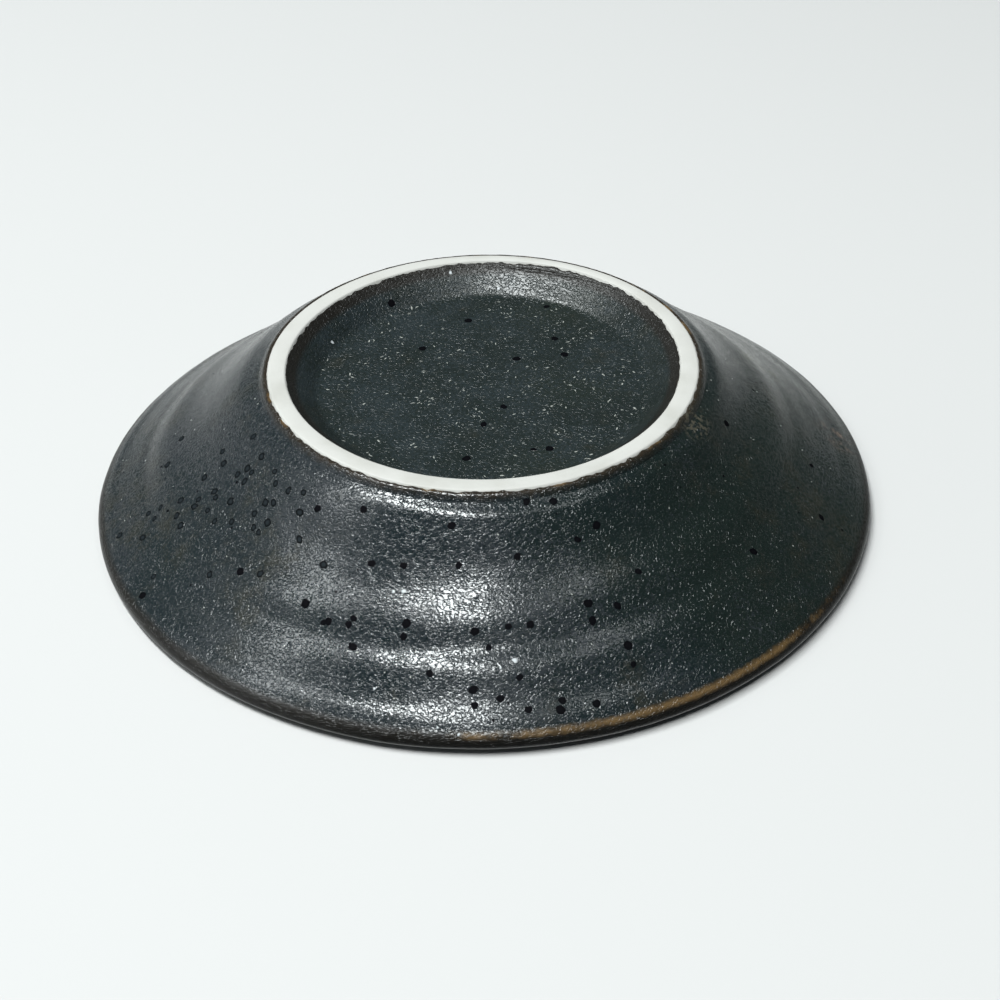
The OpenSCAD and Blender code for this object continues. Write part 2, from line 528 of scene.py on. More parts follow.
@dataclass(frozen=True)
class TableTop:
    """Plain pale table that the dish lies on."""

    name: str = "pale_table"
    colour: Colour = (0.568, 0.56, 0.556)
    roughness: float = 0.9
    specular: float = 0.1

    def material(self) -> Material:
        """Builds the material."""
        return Graph(bpy.data.materials.new(self.name)).finished({
            "Base Color": (*self.colour, 1), "Roughness": self.roughness,
            "Specular IOR Level": self.specular})


@dataclass(frozen=True)
class Lobe:
    """One wave round the axis."""

    order: int
    height_mm: float
    towards: float

    def at(self, azimuth: Array) -> Array:
        """Height in metres at azimuths in radians, greatest towards an azimuth in degrees."""
        return self.height_mm * MM * np.cos(self.order * (azimuth - math.radians(self.towards)))


@dataclass(frozen=True)
class Warp:
    """Waves round the axis that move the dish, each radius by its share and those between evenly."""

    radii_mm: tuple[float, ...]
    shares: tuple[float, ...]
    lobes: tuple[Lobe, ...]

    def at(self, radius: Array, azimuth: Array) -> Array:
        """Movement in metres at radii and azimuths."""
        strength = np.interp(radius, np.array(self.radii_mm) * MM, self.shares)
        return strength * sum(lobe.at(azimuth) for lobe in self.lobes)


@dataclass(frozen=True)
class Ripple:
    """Smooth noise in space that moves a surface by up to about its rise, up or down."""

    rise_mm: float
    size_mm: float
    seed: float

    def at(self, points: Array) -> Array:
        """Rise in metres at each place."""
        places = points / (self.size_mm * MM) + self.seed * np.array([1, 2, 3])
        return np.array([noise.noise(Vector(place)) for place in places]) * self.rise_mm * MM


@dataclass(frozen=True)
class FingerMark:
    """A soft ridge or hollow that a finger left on part of the wall."""

    azimuth: float
    reach: float
    share: float
    half_share: float
    rise_mm: float

    def at(self, azimuth: Array, share: float) -> Array:
        """Rise of the wall.

        Args:
            azimuth: Azimuths in radians.
            share: Share of the way from the foot to the lip.

        Returns:
            The rise in metres at each azimuth.
        """
        turn = (np.degrees(azimuth) - self.azimuth + 180) % 360 - 180
        across = np.clip(turn / self.reach, -1, 1)
        along = np.clip((share - self.share) / self.half_share, -1, 1)
        return self.rise_mm * MM * (1 + np.cos(math.pi * across)) * (1 + math.cos(math.pi * along)) / 4


@dataclass(frozen=True)
class PottersHand:
    """How the dish departs from an even turned form."""

    # Pulls of the rim, the foot's outer side and its inner side, and the lift of the rim
    pulls: tuple[Warp, ...] = (
        Warp((28, 50), (0, 1),
             (Lobe(0, -0.19, 0), Lobe(1, 0.08, -101), Lobe(2, 0.283, -72), Lobe(3, 0.197, 7))),
        Warp((25.2, 26.9, 35), (0, 1, 0),
             (Lobe(0, -0.238, 0), Lobe(1, 0.162, 13), Lobe(2, 0.132, 81), Lobe(3, 0.09, 3))),
        Warp((12, 24.9, 26.6), (0, 1, 0),
             (Lobe(0, 0.086, 0), Lobe(1, 0.256, 135), Lobe(2, 0.115, -28), Lobe(3, 0.149, 26))),
    )
    lift: Warp = Warp((28, 50), (0, 1), (Lobe(0, 0.2, 0), Lobe(1, 0.12, 0), Lobe(2, 0.16, -8)))
    ridge_sway: Lobe = Lobe(1, 2.9, -110)
    marks: tuple[FingerMark, ...] = (
        FingerMark(-25, 85, 0.05, 0.06, 0.14),
        FingerMark(8, 50, 0.72, 0.11, 0.16),
        FingerMark(-110, 80, 0.82, 0.12, -0.15),
        FingerMark(110, 80, 0.7, 0.12, -0.15),
    )
    lumps: tuple[Ripple, ...] = (Ripple(0.05, 8.0, 3.1), Ripple(0.018, 2.4, 7.7))

    def warped(self, points: Array) -> Array:
        """Pulls the foot and the rim out of round, and lifts parts of the rim.

        Args:
            points: Places on the even form, one a row.

        Returns:
            The places on the warped form.
        """
        radius = np.hypot(points[:, 0], points[:, 1])
        azimuth = np.arctan2(points[:, 0], -points[:, 1])
        pull = sum(warp.at(radius, azimuth) for warp in self.pulls)
        grown = points.copy()
        grown[:, :2] *= (1 + pull / np.maximum(radius, MM))[:, None]
        grown[:, 2] += self.lift.at(radius, azimuth)
        return grown


@dataclass
class Profile:
    """A line of a section, as rows of radius and height."""

    rows: Array
    tangent_step: float = 0.05 * MM

    def __post_init__(self) -> None:
        """Measures the line."""
        steps = np.linalg.norm(np.diff(self.rows, axis=0), axis=1)
        self.distances = np.concatenate([[0], np.cumsum(steps)])
        self.slopes = np.gradient(self.rows, self.distances, axis=0)

    @property
    def length(self) -> float:
        """Length of the line."""
        return float(self.distances[-1])

    def at(self, distance: Array) -> Array:
        """Points at distances along the line, on a smooth curve through its rows.

        Args:
            distance: Distances from the line's start.

        Returns:
            Radius and height, in the last axis.
        """
        held = np.clip(distance, 0, self.length)
        i = np.clip(np.searchsorted(self.distances, held, side="right") - 1, 0, len(self.rows) - 2)
        span = self.distances[i + 1] - self.distances[i]
        t = ((held - self.distances[i]) / span)[..., None]
        span = span[..., None]
        start = (1 + 2 * t) * (1 - t) ** 2 * self.rows[i] + t * (1 - t) ** 2 * span * self.slopes[i]
        end = t * t * (3 - 2 * t) * self.rows[i + 1] + t * t * (t - 1) * span * self.slopes[i + 1]
        return start + end

    def tangent(self, distance: Array) -> Array:
        """Unit direction of the line at distances along it."""
        step = self.at(distance + self.tangent_step) - self.at(distance - self.tangent_step)
        return step / np.linalg.norm(step, axis=-1, keepdims=True)

    def marks(self, zones: list[Range]) -> Array:
        """Distances to place rings at.

        Args:
            zones: For each stretch, the distance of its end and its spacing.

        Returns:
            Rising distances from 0 to the line's end.
        """
        found = [np.zeros(1)]
        for end, spacing in zones:
            start = found[-1][-1]
            count = max(1, math.ceil((end - start) / spacing))
            found.append(np.linspace(start, end, count + 1)[1:])
        return np.concatenate(found)


def section_of(node: Piece) -> Array:
    """Reads the section of a solid of revolution from its mesh.

    Args:
        node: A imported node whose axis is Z.

    Returns:
        Radius and height of the section's points, from the upper point on the
        axis round to the lower one.
    """
    weld = 1e-7
    mesh = bmesh.new()
    mesh.from_mesh(node.data)
    bmesh.ops.remove_doubles(mesh, verts=mesh.verts, dist=weld)
    for normal, clear in (((1, 0, 0), True), ((0, 1, 0), False)):
        everything = [*mesh.verts, *mesh.edges, *mesh.faces]
        cut = bmesh.ops.bisect_plane(mesh, geom=everything, plane_co=(0, 0, 0), plane_no=normal,
                                     dist=weld, clear_inner=clear)["geom_cut"]
    links: dict[Any, list[Any]] = {}
    for edge in (e for e in cut if isinstance(e, bmesh.types.BMEdge)):
        for one, two in (edge.verts, reversed(edge.verts)):
            links.setdefault(one, []).append(two)
    here = max((v for v in links if v.co.x < weld), key=lambda v: v.co.z)
    walked = [here]
    while ahead := [v for v in links[here] if v not in walked]:
        here = ahead[0]
        walked.append(here)
    rows = np.array([(v.co.x, v.co.z) for v in walked])
    mesh.free()
    return rows


@dataclass
class TurnedMesh:
    """A closed mesh, turned ring by ring from the axis round to the axis."""

    name: str
    rings: list[Array] = field(default_factory=list)
    values: dict[Held, list[Array]] = field(default_factory=dict)
    full_steps: int = 480
    fewest_steps: int = 15
    halved_within: float = 20 * MM
    on_axis_within: float = 0.01 * MM

    def azimuths(self, radius: float) -> Array:
        """Azimuths of a ring's points: half as many each time the radius halves.

        Args:
            radius: Radius of the ring.

        Returns:
            Azimuths in radians, a single 0 on the axis.
        """
        if radius < self.on_axis_within:
            return np.zeros(1)
        halvings = max(0, math.ceil(math.log2(self.halved_within / radius)))
        steps = max(self.fewest_steps, self.full_steps >> halvings)
        return np.arange(steps) * 2 * math.pi / steps

    def add_ring(self, points: Array, values: dict[Held, Array | float]) -> None:
        """Adds the next ring.

        Args:
            points: Its points in order of azimuth.
            values: What the mesh holds at each point.
        """
        self.rings.append(points)
        for which, value in values.items():
            self.values.setdefault(which, []).append(np.full(len(points), value))

    def faces(self) -> list[tuple[int, ...]]:
        """Joins neighbouring rings, which have as many, half or twice as many points.

        Returns:
            Vertex numbers of each face.
        """
        found = []
        starts = np.cumsum([0] + [len(ring) for ring in self.rings])
        for i in range(len(self.rings) - 1):
            few, many = sorted((i, i + 1), key=lambda k: len(self.rings[k]))
            n, m = len(self.rings[few]), len(self.rings[many])
            a, b = starts[few], starts[many]
            if n == 1:
                found += [(a, b + j, b + (j + 1) % m) for j in range(m)]
            elif n == m:
                found += [(a + j, b + j, b + (j + 1) % m, a + (j + 1) % n) for j in range(n)]
            else:
                for j in range(n):
                    near, far = a + j, a + (j + 1) % n
                    one, two, three = (b + (2 * j + k) % m for k in range(3))
                    found += [(near, one, two), (near, two, far), (far, two, three)]
        return [tuple(int(v) for v in face) for face in found]

    def build(self, material: Material) -> Piece:
        """Makes the object, dressed in its finish."""
        return new_piece(self.name, np.concatenate(self.rings), self.faces(), material,
                         {which: np.concatenate(value) for which, value in self.values.items()})


def new_piece(name: str, points: Array, faces: list[tuple[int, ...]],
              material: Material, values: dict[Held, Array]) -> Piece:
    """Makes a mesh object, smooth but for its sharp edges.

    Args:
        name: Name of the piece.
        points: Its vertices.
        faces: Vertex numbers of each face.
        material: Its finish.
        values: What it holds at each vertex.

    Returns:
        The object, linked into the scene.
    """
    mesh = bpy.data.meshes.new(name)
    mesh.from_pydata(points.tolist(), [], faces)
    for which, value in values.items():
        layer = mesh.attributes.new(which.value, "FLOAT", "POINT")
        layer.data.foreach_set("value", value.astype(np.float32))
    worked = bmesh.new()
    worked.from_mesh(mesh)
    bmesh.ops.recalc_face_normals(worked, faces=worked.faces)
    worked.to_mesh(mesh)
    worked.free()
    mesh.shade_smooth()
    mesh.set_sharp_from_angle(angle=SHARP_ANGLE)
    mesh.materials.append(material)
    piece = bpy.data.objects.new(name, mesh)
    bpy.context.scene.collection.objects.link(piece)
    return piece


def spread(rows: Array, azimuths: Array) -> Array:
    """Turns section points, each a radius and a height, to azimuths in radians."""
    radius, height = rows[..., 0], rows[..., 1] * np.ones_like(azimuths)
    return np.stack([radius * np.sin(azimuths), -radius * np.cos(azimuths), height], axis=-1)


@dataclass
class ClayBody:
    """White clay body: base, wall and foot ring in one piece."""

    hand: PottersHand
    finish: FiredClay = FiredClay()
    node: str = "clay_body"
    name: str = "thrown_clay_body"
    bare_depth: float = 1.3 * MM
    bare_spacing: float = 0.12 * MM
    covered_spacing: float = 0.9 * MM
    lip_reach: float = 2 * MM
    lip_spacing: float = 0.3 * MM
    wear: Ripple = Ripple(0.02, 4, 1.3)

    def build(self) -> Piece:
        """Builds and dresses the body.

        Returns:
            The piece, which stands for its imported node.
        """
        rows = section_of(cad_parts[self.node])
        profile = Profile(rows)
        bare = profile.distances[rows[:, 1] > rows[:, 1].max() - self.bare_depth]
        lip = profile.distances[np.argmax(rows[:, 0])]
        mesh = TurnedMesh(self.name)
        for distance in profile.marks([
                (bare[0], self.covered_spacing), (bare[-1], self.bare_spacing),
                (lip - self.lip_reach, self.covered_spacing), (lip + self.lip_reach, self.lip_spacing),
                (profile.length, self.covered_spacing)]):
            row = profile.at(np.array(distance))
            points = spread(row, mesh.azimuths(row[0]))
            if bare[0] < distance < bare[-1]:
                points[:, 2] -= abs(self.wear.at(points))
            mesh.add_ring(self.hand.warped(points), {})
        piece = mesh.build(self.finish.material())
        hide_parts(self.node)
        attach(piece, "root")
        return piece


@dataclass
class GlazeCoat:
    """A coat of glaze with a ragged wiped edge."""

    hand: PottersHand
    finish: DarkGlaze
    node: str
    name: str
    exposed_first: bool
    ragged: tuple[Ripple, ...]
    ragged_reach: float = 1.1 * MM
    heading_reach: float = 0.3 * MM
    face_depth: float = 0.01 * MM
    edge_spacing: float = 0.14 * MM
    under_edge_reach: float = 1.2 * MM
    under_edge_spacing: float = 0.3 * MM
    under_spacing: float = 0.9 * MM
    no_trim_mm: float = 9.0

    def __post_init__(self) -> None:
        """Reads the coat's section and parts it at the wiped edge, which lies nearest the ring's face."""
        rows = section_of(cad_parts[self.node])
        clay = section_of(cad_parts[ClayBody.node])
        face = clay[clay[:, 1] > clay[:, 1].max() - self.face_depth].mean(axis=0)
        edge = int(np.argmin(np.linalg.norm(rows - face, axis=1)))
        first, second = Profile(rows[edge::-1]), Profile(rows[edge:])
        self.exposed, self.hidden = (first, second) if self.exposed_first else (second, first)
        self.side = 1 if self.exposed_first else -1
        self.edge_heading = self.hidden.tangent(np.array(self.heading_reach))
        self.lip_distance = float(self.exposed.distances[np.argmax(self.exposed.rows[:, 0])])

    def zones(self) -> list[Range]:
        """Stretches of the exposed line and their spacings."""
        raise NotImplementedError

    def skin_rows(self, distance: float, azimuths: Array) -> Array:
        """Radius and height round one exposed ring, before its edge is made ragged."""
        return self.exposed.at(distance * np.ones(len(azimuths)))

    def from_trim_mm(self, distance: float, azimuths: Array) -> Array:
        """Distance of one exposed ring's points from the trimming line, which most coats don't have."""
        return np.full(len(azimuths), self.no_trim_mm)

    def edge_shift(self, rows: Array, azimuths: Array, distance: float) -> Array:
        """Moves section points near the wiped edge along the clay, to make the edge ragged.

        Args:
            rows: Radius and height for each azimuth.
            azimuths: Azimuths in radians.
            distance: Distance from the wiped edge.

        Returns:
            The moved points.
        """
        reach = max(0.0, 1 - distance / self.ragged_reach) ** 2
        if reach == 0:
            return rows
        places = spread(self.exposed.rows[0] * np.ones((len(azimuths), 2)), azimuths)
        shift = sum(ripple.at(places) for ripple in self.ragged) * reach
        return rows + shift[:, None] * self.edge_heading

    def skin_points(self, distance: float, azimuths: Array) -> Array:
        """Points of one exposed ring.

        Args:
            distance: Distance from the wiped edge.
            azimuths: Azimuths in radians.

        Returns:
            The ring's points.
        """
        rows = self.edge_shift(self.skin_rows(distance, azimuths), azimuths, distance)
        places = spread(rows, azimuths)
        rise = sum(lump.at(places) for lump in self.hand.lumps) * min(1.0, distance / MM)
        return self.hand.warped(spread(rows + self.outward(distance) * rise[:, None], azimuths))

    def outward(self, distance: float) -> Array:
        """Direction in the section that points out of the coat, at a distance from the edge."""
        tangent = self.exposed.tangent(np.array(distance))
        return np.array([tangent[1], -tangent[0]]) * self.side

    def build(self) -> Piece:
        """Builds and dresses the coat.

        Returns:
            The piece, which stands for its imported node.
        """
        mesh = TurnedMesh(self.name)
        lip_mm = self.lip_distance / MM
        under = self.hidden.marks([(self.under_edge_reach, self.under_edge_spacing),
                                   (self.hidden.length, self.under_spacing)])
        for distance in under[:0:-1]:
            row = self.hidden.at(np.array(distance))
            azimuths = mesh.azimuths(float(row[0]))
            rows = self.edge_shift(row * np.ones((len(azimuths), 2)), azimuths, distance)
            mesh.add_ring(self.hand.warped(spread(rows, azimuths)),
                          {Held.FROM_EDGE: distance / MM, Held.FROM_LIP: lip_mm,
                           Held.FROM_TRIM: self.no_trim_mm})
        for distance in self.exposed.marks(self.zones()):
            azimuths = mesh.azimuths(float(self.exposed.at(np.array(distance))[0]))
            mesh.add_ring(self.skin_points(distance, azimuths),
                          {Held.FROM_EDGE: distance / MM, Held.FROM_LIP: lip_mm - distance / MM,
                           Held.FROM_TRIM: self.from_trim_mm(distance, azimuths)})
        piece = mesh.build(self.finish.material())
        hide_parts(self.node)
        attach(piece, "root")
        return piece


@dataclass
class WallGlaze(GlazeCoat):
    """Glaze over the outer wall, round the lip and all over the inside."""

    finish: DarkGlaze = DarkGlaze()
    node: str = "wall_glaze"
    name: str = "dipped_wall_glaze"
    exposed_first: bool = False
    ragged: tuple[Ripple, ...] = (Ripple(0.1, 2.6, 5), Ripple(0.26, 0.8, 6))
    edge_reach: float = 2.2 * MM
    wall_spacing: float = 0.34 * MM
    lip_reach: float = 3 * MM
    lip_spacing: float = 0.25 * MM
    inside_spacing: float = 0.5 * MM
    well_spacing: float = 1.0 * MM
    valley_reach: float = 1.2 * MM

    def zones(self) -> list[Range]:
        """Close rings at the edge and the lip, wider ones inside."""
        return [(self.edge_reach, self.edge_spacing),
                (self.lip_distance - self.lip_reach, self.wall_spacing),
                (self.lip_distance + self.lip_reach, self.lip_spacing),
                (self.exposed.distances[-2], self.inside_spacing),
                (self.exposed.length, self.well_spacing)]

    def skin_rows(self, distance: float, azimuths: Array) -> Array:
        """Section points of one ring, whose ridges wander between the valley and the lip.

        Args:
            distance: Distance from the wiped edge.
            azimuths: Azimuths in radians.

        Returns:
            Radius and height for each azimuth.
        """
        start, end = self.valley_reach, self.lip_distance - self.lip_reach / 2
        share = float(np.clip((distance - start) / (end - start), 0, 1))
        sway = self.hand.ridge_sway.at(azimuths) * math.sin(math.pi * share)
        rise = sum(mark.at(azimuths, share) for mark in self.hand.marks)
        foot, lip = self.exposed.at(np.array([start, end]))
        straight = (lip - foot) / np.linalg.norm(lip - foot)
        return (self.exposed.at(distance - sway) + sway[:, None] * straight
                + rise[:, None] * self.outward(distance))


@dataclass
class RecessGlaze(GlazeCoat):
    """Glaze inside the foot ring."""

    finish: DarkGlaze = RecessGlazeFinish()
    node: str = "recess_glaze"
    name: str = "dipped_recess_glaze"
    exposed_first: bool = True
    ragged: tuple[Ripple, ...] = (Ripple(0.1, 2.6, 11), Ripple(0.26, 0.8, 12))
    edge_reach: float = 1.5 * MM
    side_spacing: float = 0.25 * MM
    floor_spacing: float = 0.7 * MM
    trim_reach: float = 1.7 * MM
    trim_azimuths: tuple[float, ...] = (-180, -172, -150, -135, 120, 140, 155, 165, 172, 180)
    trim_depths_mm: tuple[float, ...] = (0.5, 0.42, 0.3, -0.5, -0.5, 0.3, 1.0, 1.05, 0.72, 0.5)
    trim_uncut_mm: float = 1.2

    def zones(self) -> list[Range]:
        """Close rings down the side, wider ones over the floor."""
        return [(self.edge_reach, self.edge_spacing), (self.exposed.distances[-2], self.side_spacing),
                (self.exposed.length, self.floor_spacing)]

    def trim_depth_mm(self, azimuths: Array) -> Array:
        """Distance of the trimming line from the wiped edge, which it leaves and meets again."""
        turned = (np.degrees(azimuths) + 180) % 360 - 180
        return np.interp(turned, self.trim_azimuths, self.trim_depths_mm)

    def from_trim_mm(self, distance: float, azimuths: Array) -> Array:
        """Distance of one exposed ring's points from the trimming line."""
        return distance / MM - self.trim_depth_mm(azimuths)

    def skin_rows(self, distance: float, azimuths: Array) -> Array:
        """Section points of one ring, which is cut back where the trimming line runs high.

        Args:
            distance: Distance from the wiped edge.
            azimuths: Azimuths in radians.

        Returns:
            Radius and height for each azimuth.
        """
        rows = super().skin_rows(distance, azimuths)
        if distance < self.trim_reach:
            edge, inside = self.exposed.at(np.array([0, self.trim_reach]))
            straight = edge + (inside - edge) * distance / self.trim_reach
            cut = np.clip(self.trim_uncut_mm - self.trim_depth_mm(azimuths), 0, 1)
            rows = rows + cut[:, None] * (straight - rows)
        return rows


@dataclass
class GlazeSkin:
    """Outer surfaces of the finished coats, for specks to be laid on."""

    coats: list[Piece]

    def __post_init__(self) -> None:
        """Gathers the coats' faces."""
        points: list[Vector] = []
        faces: list[list[int]] = []
        for coat in self.coats:
            start = len(points)
            points += [vertex.co.copy() for vertex in coat.data.vertices]
            faces += [[start + i for i in face.vertices] for face in coat.data.polygons]
        self.tree = BVHTree.FromPolygons(points, faces)

    def struck(self, origin: Vector, heading: Vector) -> tuple[Vector, Vector]:
        """The place where a line meets the skin first, and the skin's normal there."""
        place, normal, _, _ = self.tree.ray_cast(origin, heading)
        return place, normal

    def laid(self, point: Vector, rise: float) -> Vector:
        """The place above the skin's nearest point, at a height."""
        place, normal, _, _ = self.tree.find_nearest(point)
        return place + normal * rise


@dataclass(frozen=True)
class SpeckKind:
    """One kind of speck: a closed lens that is sunk in the skin of the glaze."""

    name: str
    finish: SpeckFinish
    rise_mm: float
    corners: int = 12
    sunk_mm: float = 0.003
    depth_mm: float = 0.08
    uneven: float = 0.14
    ring_shares: tuple[float, ...] = (1.0, 0.72, 0.4)


@dataclass
class SpeckMesh:
    """All specks of one kind, on the skin of the glaze, with chance as the source of their unevenness."""

    kind: SpeckKind
    skin: GlazeSkin
    chance: random.Random
    points: list[Vector] = field(default_factory=list)
    faces: list[tuple[int, ...]] = field(default_factory=list)
    shares: list[float] = field(default_factory=list)

    def add(self, place: Vector, normal: Vector, length_mm: float, width_mm: float) -> None:
        """Lays one speck, turned at random.

        Args:
            place: Its middle.
            normal: Normal of the skin there.
            length_mm: Its longer axis.
            width_mm: Its shorter axis.
        """
        kind, start, count = self.kind, len(self.points), self.kind.corners
        turn = Matrix.Rotation(self.chance.uniform(0, math.pi), 3, normal)
        long = turn @ normal.orthogonal().normalized()
        across = normal.cross(long)
        reaches = [self.chance.uniform(1 - kind.uneven, 1 + kind.uneven) for _ in range(count)]
        for share in kind.ring_shares:
            rise = (kind.rise_mm * (1 - share ** 2) - kind.sunk_mm * share) * MM
            for i, reach in enumerate(reaches):
                angle = 2 * math.pi * i / count
                step = (long * math.cos(angle) * length_mm + across * math.sin(angle) * width_mm) / 2
                self.points.append(self.skin.laid(place + step * reach * share * MM, rise))
                self.shares.append(share)
        self.points += [self.skin.laid(place, kind.rise_mm * MM), place - normal * kind.depth_mm * MM]
        self.shares += [0, 1]
        middle, under = len(self.points) - 2, len(self.points) - 1
        inner = start + (len(kind.ring_shares) - 1) * count
        for i in range(count):
            j = (i + 1) % count
            for ring in range(start, inner, count):
                self.faces.append((ring + i, ring + j, ring + count + j, ring + count + i))
            self.faces += [(inner + i, inner + j, middle), (start + j, start + i, under)]

    def build(self) -> Piece:
        """Makes the object.

        Returns:
            The piece, which rides with the dish.
        """
        piece = new_piece(self.kind.name, np.array(self.points), self.faces, self.kind.finish.material(),
                          {Held.FROM_CENTRE: np.array(self.shares)})
        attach(piece, "root")
        return piece


@dataclass(frozen=True)
class PhotoCamera:
    """Where the photograph was taken from, and through what lens."""

    distance: float = 275.35 * MM
    elevation: float = 36.66
    pitch: float = 0.214
    yaw: float = -0.385
    roll: float = -1.351
    lens_mm: float = 75.54
    sensor_mm: float = 36.0
    nearest: float = 10 * MM

    def matrix(self) -> Matrix:
        """Works out the camera's place and turn.

        Returns:
            Its matrix in the scene.
        """
        up = math.radians(self.elevation)
        place = Vector((0, -math.cos(up), math.sin(up))) * self.distance
        turn = Matrix.Rotation(math.pi / 2 - up, 4, "X")
        for angle, axis in ((self.yaw, "Y"), (-self.pitch, "X"), (self.roll, "Z")):
            turn = turn @ Matrix.Rotation(math.radians(angle), 4, axis)
        return Matrix.Translation(place) @ turn

    def build(self) -> None:
        """Puts the camera in the scene."""
        data = bpy.data.cameras.new("photo_camera")
        data.lens = self.lens_mm
        data.sensor_width = self.sensor_mm
        data.clip_start = self.nearest
        camera = bpy.data.objects.new("photo_camera", data)
        camera.matrix_world = self.matrix()
        bpy.context.scene.collection.objects.link(camera)
        bpy.context.scene.camera = camera

    def ray(self, pixel: Pixel) -> tuple[Vector, Vector]:
        """Line of sight through a pixel.

        Args:
            pixel: Column and row in the photograph.

        Returns:
            A point on the line and its direction.
        """
        half = PHOTO_SIZE / 2
        matrix = self.matrix()
        seen = Vector(((pixel[0] + 0.5 - half) / PHOTO_SIZE * self.sensor_mm,
                       (half - pixel[1] - 0.5) / PHOTO_SIZE * self.sensor_mm, -self.lens_mm))
        return matrix.translation, (matrix.to_3x3() @ seen).normalized()


@dataclass(frozen=True)
class SeenSpecks:
    """Specks that the photograph shows one by one, as columns and rows of its pixels."""

    kind: SpeckKind
    sizes_mm: Range
    pixels: tuple[Pixel, ...]
    slim: Range = (0.75, 1)


@dataclass(frozen=True)
class StrewnSpecks:
    """Specks that are tried by chance over a ring of the dish, on the side that faces up or down."""

    kind: SpeckKind
    tries: int
    ring_mm: Range
    upward: bool
    sizes_mm: Range
    slim: Range


IRON = SpeckKind(
    "iron_specks", SpeckFinish("iron_speck", (0.003, 0.003, 0.004), (0.002, 0.002, 0.003), 0.6, 0.02),
    rise_mm=0.02)
# Pits: the near-black rim of each is painted shade of the pit's wall, round a middle of the glaze's own
# colour
PIT = SpeckKind(
    "burst_pits", SpeckFinish("pit_painted_shade", (0.015, 0.019, 0.022), (0.001, 0.0015, 0.002), 0.6, 0.04),
    rise_mm=0.012)
# Small pale shiny specks
PALE_SPECK = SpeckKind(
    "pale_specks", SpeckFinish("pale_speck", (0.52, 0.54, 0.56), (0.32, 0.34, 0.35), 0.45, 0.5),
    rise_mm=0.02, corners=7, uneven=0.35)
FLECK = SpeckKind(
    "pale_flecks", SpeckFinish("pale_fleck", (0.36, 0.37, 0.34), (0.15, 0.155, 0.145), 0.5, 0.4),
    rise_mm=0.006, corners=6, sunk_mm=0.004, depth_mm=0.03, uneven=0.3, ring_shares=(1.0, 0.6))


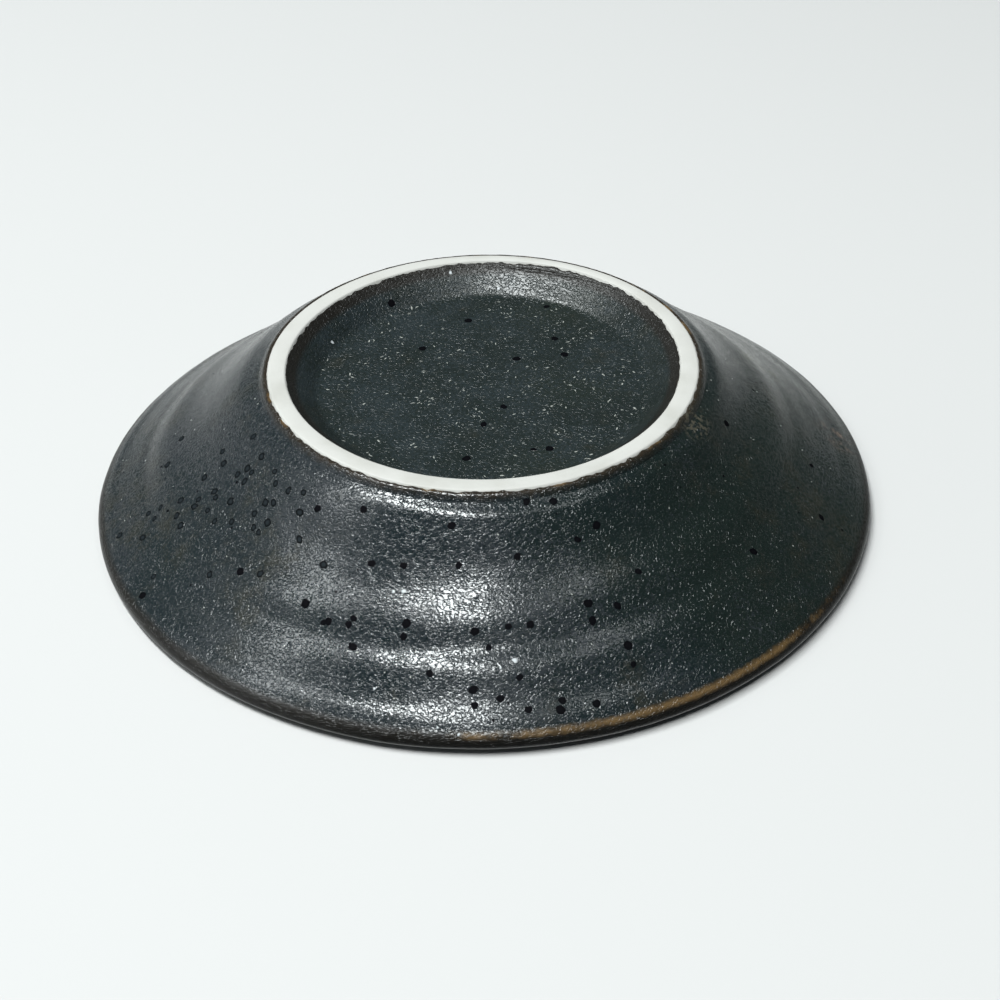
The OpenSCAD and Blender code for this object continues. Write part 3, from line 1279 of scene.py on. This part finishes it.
@dataclass
class Specks:
    """Iron specks, pits and pale flecks in the glaze, where the photograph shows them and beyond."""

    skin: GlazeSkin
    camera: PhotoCamera
    seed: int = 29
    patch_mm: float = 5.0
    patch_chance: Range = (-0.35, 0.25)
    clear_height: float = 60 * MM
    seen: tuple[SeenSpecks, ...] = (
        SeenSpecks(IRON, (0.85, 1.3), (
            (317, 508), (363, 509), (451, 525), (371, 563), (403, 565), (458, 565), (240, 571), (142, 595),
            (305, 603), (517, 556), (577, 539), (596, 525), (328, 621), (353, 618), (406, 623), (403, 636),
            (352, 646), (474, 631), (508, 626), (530, 624), (488, 647), (429, 673), (519, 677), (473, 689),
            (474, 705), (500, 698), (562, 700), (560, 709), (528, 709), (596, 703), (588, 603), (617, 605),
            (592, 620), (628, 645), (633, 664), (638, 571), (553, 501), (526, 501), (323, 622), (348, 624),
            (466, 458), (533, 449), (549, 448), (422, 348), (391, 303), (503, 406), (468, 320), (546, 306),
            (483, 424), (564, 354), (554, 338), (516, 358), (726, 423), (811, 465), (821, 517), (753, 551))),
        SeenSpecks(PIT, (0.95, 1.35), (
            (222, 451), (261, 456), (223, 463), (247, 468), (237, 474), (244, 481), (274, 471), (275, 483),
            (288, 490), (303, 492), (167, 464), (180, 500), (215, 497), (230, 501), (194, 506), (207, 510),
            (265, 502), (254, 513), (176, 515), (231, 521), (253, 527), (267, 522), (251, 472), (204, 477),
            (198, 499), (214, 491), (273, 502), (160, 507), (154, 518), (148, 513), (214, 521), (180, 525),
            (299, 512), (299, 539), (258, 532), (209, 574), (153, 576), (260, 573), (119, 535), (142, 537),
            (181, 438), (253, 436), (323, 564))),
        SeenSpecks(PALE_SPECK, (0.35, 0.65), (
            (514, 660), (500, 667), (437, 727), (458, 734), (403, 591), (393, 591), (374, 688), (498, 288),
            (332, 342), (450, 272))),
    )
    strewn: tuple[StrewnSpecks, ...] = (
        StrewnSpecks(IRON, 190, (5, 47), False, (0.4, 1.2), (0.7, 1)),
        StrewnSpecks(IRON, 110, (29, 48), True, (0.2, 0.45), (0.7, 1)),
        StrewnSpecks(FLECK, 640, (0, 21), True, (0.28, 0.85), (0.18, 0.42)),
        StrewnSpecks(FLECK, 460, (28, 48), True, (0.14, 0.45), (0.3, 0.7)),
        StrewnSpecks(FLECK, 360, (0, 47), False, (0.15, 0.5), (0.25, 0.6)),
    )

    def place_seen(self, mesh: SpeckMesh, group: SeenSpecks) -> None:
        """Lays specks where the photograph shows them.

        Args:
            mesh: Mesh that takes them.
            group: Where they are seen, and their sizes.
        """
        for pixel in group.pixels:
            place, normal = self.skin.struck(*self.camera.ray(pixel))
            size = mesh.chance.uniform(*group.sizes_mm)
            mesh.add(place, normal, size, size * mesh.chance.uniform(*group.slim))

    def strew(self, mesh: SpeckMesh, group: StrewnSpecks) -> None:
        """Lays specks by chance, in loose patches.

        Args:
            mesh: Mesh that takes them.
            group: How many are tried, where, and their sizes.
        """
        least, most = (reach ** 2 for reach in group.ring_mm)
        high = self.clear_height if group.upward else -self.clear_height
        for _ in range(group.tries):
            radius = math.sqrt(mesh.chance.uniform(least, most)) * MM
            azimuth = mesh.chance.uniform(0, 2 * math.pi)
            origin = Vector((radius * math.sin(azimuth), -radius * math.cos(azimuth), high))
            if noise.noise(origin / (self.patch_mm * MM)) < mesh.chance.uniform(*self.patch_chance):
                continue
            place, normal = self.skin.struck(origin, Vector((0, 0, -high)))
            size = mesh.chance.uniform(*group.sizes_mm)
            mesh.add(place, normal, size, size * mesh.chance.uniform(*group.slim))

    def build(self) -> list[Piece]:
        """Builds all specks.

        Returns:
            One piece for each kind.
        """
        chance = random.Random(self.seed)
        meshes = {kind: SpeckMesh(kind, self.skin, chance) for kind in (IRON, PIT, PALE_SPECK, FLECK)}
        for group in self.seen:
            self.place_seen(meshes[group.kind], group)
        for group in self.strewn:
            self.strew(meshes[group.kind], group)
        return [mesh.build() for mesh in meshes.values()]


@dataclass(frozen=True)
class SoftLamp:
    """A large soft lamp that aims at the dish."""

    name: str
    place: tuple[float, float, float]
    width: float
    depth: float
    power: float
    colour: Colour = (0.95, 1, 1)

    def build(self) -> None:
        """Hangs the lamp."""
        data = bpy.data.lights.new(self.name, "AREA")
        data.shape = "RECTANGLE"
        data.size = self.width
        data.size_y = self.depth
        data.energy = self.power
        data.color = self.colour
        lamp = bpy.data.objects.new(self.name, data)
        lamp.location = self.place
        lamp.rotation_euler = (-Vector(self.place)).to_track_quat("-Z", "Y").to_euler()
        lamp.visible_camera = False
        bpy.context.scene.collection.objects.link(lamp)


@dataclass(frozen=True)
class Studio:
    """Pale table, soft lamps and a dim room."""

    table_size: float = 12.0
    table: TableTop = TableTop()
    lamps: tuple[SoftLamp, ...] = (
        SoftLamp("window_above", (-0.25, -0.17, 1.0), 0.8, 0.16, 16.0),
        SoftLamp("window_edge", (0.38, -0.17, 1.0), 0.45, 0.17, 0.8),
        SoftLamp("window_far", (-0.68, -0.11, 0.86), 0.17, 0.35, 2.0),
        SoftLamp("window_left", (-1.1, -0.2, 0.75), 0.9, 0.8, 1.2),
    )
    ceiling: Colour = (0.035, 0.043, 0.047)
    rear: Colour = (0.085, 0.105, 0.105)
    rear_backward: Range = (0.3, 0.9)
    side: Colour = (0.24, 0.265, 0.27)
    side_rightward: Range = (-0.9, -0.3)
    floor_glow: Colour = (0.72, 0.75, 0.74)
    glow_upward: Range = (-0.3, 0.16)
    glow_backward: Range = (-0.35, 0.65)
    glow_rightward: Range = (0.1, 0.8)
    glow_lost_rightward: float = 0.6

    def build(self) -> None:
        """Builds the table, the lamps and the light of the room."""
        half = self.table_size / 2
        corners = np.array([(-half, -half, 0), (half, -half, 0), (half, half, 0), (-half, half, 0)])
        table = new_piece("table_top", corners, [(0, 1, 2, 3)], self.table.material(), {})
        table.visible_glossy = False
        for lamp in self.lamps:
            lamp.build()
        self.light_room()
        bpy.context.scene.view_settings.view_transform = "Standard"

    def light_room(self) -> None:
        """Lights the room: dim above, and paler below, where reflections see it in place of the table."""
        graph = Graph(bpy.data.worlds.new("room"))
        bpy.context.scene.world = graph.owner
        rightward, backward, upward = graph.parts(graph.add("TexCoord", out="Generated"))
        above = graph.blend(graph.eased(backward, self.rear_backward), self.ceiling, self.rear)
        above = graph.blend(1 - graph.eased(rightward, self.side_rightward), above, self.side)
        glow = ((1 - graph.eased(upward, self.glow_upward))
                * (1 - graph.eased(rightward, self.glow_rightward) * self.glow_lost_rightward)
                * graph.eased(backward, self.glow_backward))
        colour = graph.blend(glow, above, self.floor_glow)
        graph.add("OutputWorld", {}, {"Surface": graph.add("Background", {}, {"Color": colour})})


def main() -> None:
    """Builds the dish and its studio, and reports each piece."""
    logging.basicConfig(level=logging.INFO, format="%(name)s: %(message)s")
    camera = PhotoCamera()
    camera.build()
    Studio().build()
    hand = PottersHand()
    pieces = [part.build() for part in (ClayBody(hand), WallGlaze(hand), RecessGlaze(hand))]
    pieces += Specks(GlazeSkin(pieces[1:]), camera).build()
    for piece in pieces:
        log.info("%s: %d faces", piece.name, len(piece.data.polygons))


if __name__ == "__main__":
    main()
